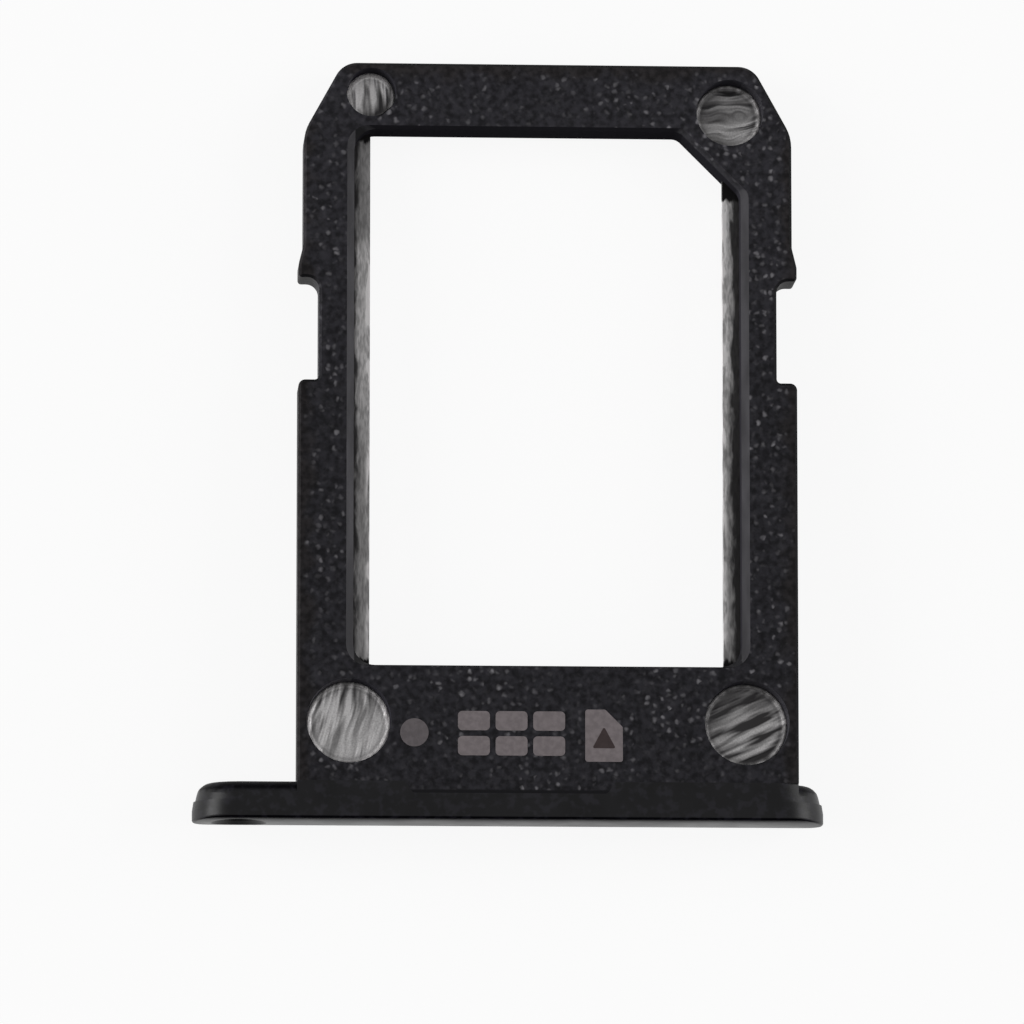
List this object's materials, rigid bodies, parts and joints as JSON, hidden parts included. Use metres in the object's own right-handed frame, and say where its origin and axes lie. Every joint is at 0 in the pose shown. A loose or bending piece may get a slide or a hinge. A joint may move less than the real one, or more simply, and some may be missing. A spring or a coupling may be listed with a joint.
{
  "type": "sim card tray",
  "caption": "Flat tray for a nano card: moulded frame with a keyed pocket over a steel plate, detent notches at its sides, and a pill-shaped head bar with an eject hole.",
  "frame": {"origin": "under the middle of the part, at the height of the head bar's lowest face", "axes": "+Z out of the card side, +Y from the head bar to the nose that enters the phone first, +X to the right with the head towards the viewer"},
  "size_m": [0.0144, 0.0176, 0.0019],
  "materials": {
    "frame_plastic": "speckled glass-filled black",
    "bare_steel": "bare, scratched",
    "black_bar": "satin black anodised"
  },
  "bodies": {
    "root": {"moulded_frame": "frame_plastic", "steel_insert": "bare_steel", "head_bar": "black_bar"}
  },
  "joints": []
}
